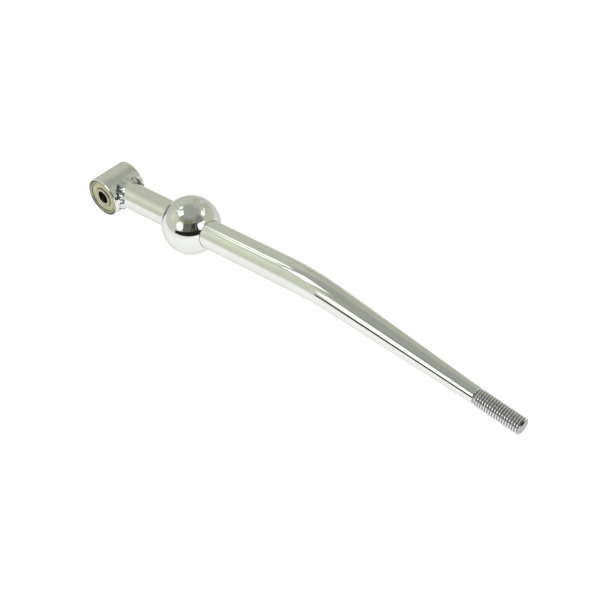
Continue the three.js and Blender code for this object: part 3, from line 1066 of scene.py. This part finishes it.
def build_room():
    """The tent's open front: a dark room with a few uprights in it."""
    room = standing_card("room_card", 0.8, (-31, 31), 0.76)
    made, paint, shader = glow("dark_room")
    fit_grain = paint.nodes.new("ShaderNodeMapping")
    fit_grain.inputs["Scale"].default_value = (1, 1, 0.22)
    paint.links.new(paint.place, fit_grain.inputs["Vector"])
    grain = paint.nodes.new("ShaderNodeTexNoise")
    grain.inputs["Scale"].default_value = 14
    grain.inputs["Detail"].default_value = 3
    paint.links.new(fit_grain.outputs["Vector"], grain.inputs["Vector"])
    stops = [(0.34, seen(52, 50, 44)), (0.5, seen(88, 86, 78)), (0.66, seen(124, 118, 108))]
    colour = paint.gradient(grain.outputs["Fac"], stops)
    for shade, across, up, edge in ROOM_PATCHES:
        colour = paint.over(colour, seen(*shade), paint.patch(across, up, edge))
    paint.links.new(colour, shader.inputs["Emission Color"])
    room.data.materials.append(made)


def build_step():
    """A black step on the floor in front of the lever, with a low riser."""
    profile = [(0.235, 0.0008), (0.3, 0.0008), (0.3, 0.09)]
    points = []
    for along in (-0.52, 1.25):
        for out, height in profile:
            points.append(below(BALL_CENTRE) + FRONT * out + SIDE * along + UP * height)
    step = reflected_card("step_card", points, [(0, 1, 4, 3), (1, 2, 5, 4)])
    made, paint, shader = glow("black_step")
    stops = [(0.0, seen(58, 55, 50)), (0.03, seen(30, 29, 27)), (0.09, seen(40, 39, 35))]
    paint.links.new(paint.gradient(paint.up, stops), shader.inputs["Emission Color"])
    step.data.materials.append(made)


# Metres along Y, and how brightly the floor glows there.
FLOOR_LEVELS = [(-0.9, 0.5), (-0.45, 0.58), (-0.3, 0.72), (-0.2, 0.76), (-0.12, 0.88)]
FLOOR_LEVELS += [(-0.06, 1.03), (0.0, 1.03), (0.03, 0.8), (0.06, 0.7), (0.1, 0.7)]
FLOOR_LEVELS += [(0.38, 0.7), (0.5, 0.52), (0.9, 0.47)]


def build_floor():
    """A large pale sheet under the lever. It glows most near the lever and less to both sides."""
    half = 40.0
    corners = [(-half, -half, 0), (half, -half, 0), (half, half, 0), (-half, half, 0)]
    mesh = bpy.data.meshes.new("floor")
    mesh.from_pydata(corners, [], [(0, 1, 2, 3)])
    floor = new_object("floor", mesh)
    made, paint, shader = glow("floor_paper")
    shader.inputs["Base Color"].default_value = (0.5, 0.5, 0.495, 1)
    shader.inputs["Roughness"].default_value = 0.9
    back = paint.dot(paint.place, Vector((0, 1, 0)))
    stops = [(value, (level, level, 0.995 * level)) for value, level in FLOOR_LEVELS]
    paint.links.new(paint.gradient(back, stops), shader.inputs["Emission Color"])
    floor.data.materials.append(made)


SOFT_EDGE = 0.16


def soften(data):
    """Lets a softbox fade over the outer share of its front."""
    data.use_nodes = True
    nodes, links = data.node_tree.nodes, data.node_tree.links
    paint = Painter(nodes, links)
    split = nodes.new("ShaderNodeSeparateXYZ")
    links.new(nodes.new("ShaderNodeNewGeometry").outputs["Parametric"], split.inputs["Vector"])
    out = [paint.math("SUBTRACT", split.outputs[axis], 0.5) for axis in ("X", "Y")]
    if data.shape == "ELLIPSE":
        squares = [paint.math("MULTIPLY", value, value) for value in out]
        reach = paint.math("SQRT", paint.math("ADD", *squares))
        fade = paint.between(reach, 0.5, 0.5 - SOFT_EDGE, "SMOOTHSTEP")
    else:
        far = [paint.math("ABSOLUTE", value) for value in out]
        sides = [paint.between(value, 0.5, 0.5 - SOFT_EDGE, "SMOOTHSTEP") for value in far]
        fade = paint.math("MULTIPLY", *sides)
    links.new(fade, nodes["Emission"].inputs["Strength"])


def softbox(name, aim, distance, size, brightness, colour, shape, roll):
    """An area light aimed at the ball from aim (degrees round, degrees up)."""
    data = bpy.data.lights.new(name, "AREA")
    data.shape = shape
    data.size, data.size_y = size
    area = size[0] * size[1] * (math.pi / 4 if shape == "ELLIPSE" else 1)
    data.energy = brightness * math.pi * area
    data.color = colour
    soften(data)
    light = new_object(name, data)
    way = toward(*aim)
    facing = way.to_track_quat("Z", "Y").to_matrix() @ Matrix.Rotation(math.radians(roll), 3, "Z")
    light.matrix_world = Matrix.Translation(BALL_CENTRE + way * distance) @ facing.to_4x4()
    light.visible_camera = False


def build_flag():
    """A small card beside the tube that keeps the right-hand lights off it."""
    foot = below(TUBE_CENTRE) + SIDE * 0.07
    left, right, low, high = -0.022, 0.028, 0.035, 0.115
    corners = [(left, low), (right, low), (right, high), (left, high)]
    points = [foot + FRONT * out + UP * height for out, height in corners]
    flag = reflected_card("flag_card", points, [(0, 1, 2, 3)])
    made, paint, shader = glow("flag_paper")
    fade = paint.gradient(paint.up, [(low, seen(182, 185, 170)), (high, seen(168, 171, 158))])
    across = TUBE_CENTRE.dot(FRONT)
    paint.across = paint.dot(paint.place, FRONT)
    low_corner = paint.patch((across + 0.003, across + 0.012), (0.03, 0.05), 0.005)
    fade = paint.over(fade, seen(204, 205, 194), low_corner)
    paint.links.new(fade, shader.inputs["Emission Color"])
    flag.data.materials.append(made)


COOL, COOLEST, WARM = (0.95, 0.98, 1.0), (0.92, 0.975, 1.0), (1.0, 0.99, 0.88)

# Name, (degrees round, degrees up), distance, size, brightness, colour, shape, roll in degrees.
SOFTBOXES = [
    ("soft_front_left", (-47, 26.5), 0.85, (0.47, 0.51), 1.5, COOLEST, "ELLIPSE", 0),
    ("soft_front_right", (44, 23), 0.83, (0.4, 0.45), 1.95, COOL, "ELLIPSE", 0),
    ("soft_right_edge", (63, 28), 0.85, (0.17, 0.13), 1.3, WARM, "ELLIPSE", 0),
    ("soft_left_top", (-94, 60), 1.1, (0.41, 0.4), 1.95, COOL, "RECTANGLE", 3),
    ("soft_left_corner", (-115, 49), 1.1, (0.13, 0.14), 1.15, COOL, "RECTANGLE", 0),
    ("soft_left_strip", (-134, 54), 1.1, (0.27, 0.3), 0.98, COOL, "ELLIPSE", 0),
    ("soft_right_top", (97, 44.5), 0.9, (0.33, 0.24), 1.75, WARM, "ELLIPSE", 0),
    ("soft_right_strip", (118, 38.5), 0.9, (0.21, 0.07), 1.2, WARM, "ELLIPSE", 0),
]


build_camera()
build_walls()
build_room()
build_step()
build_floor()
build_flag()
for box in SOFTBOXES:
    softbox(*box)
bpy.context.scene.view_settings.view_transform = "Standard"
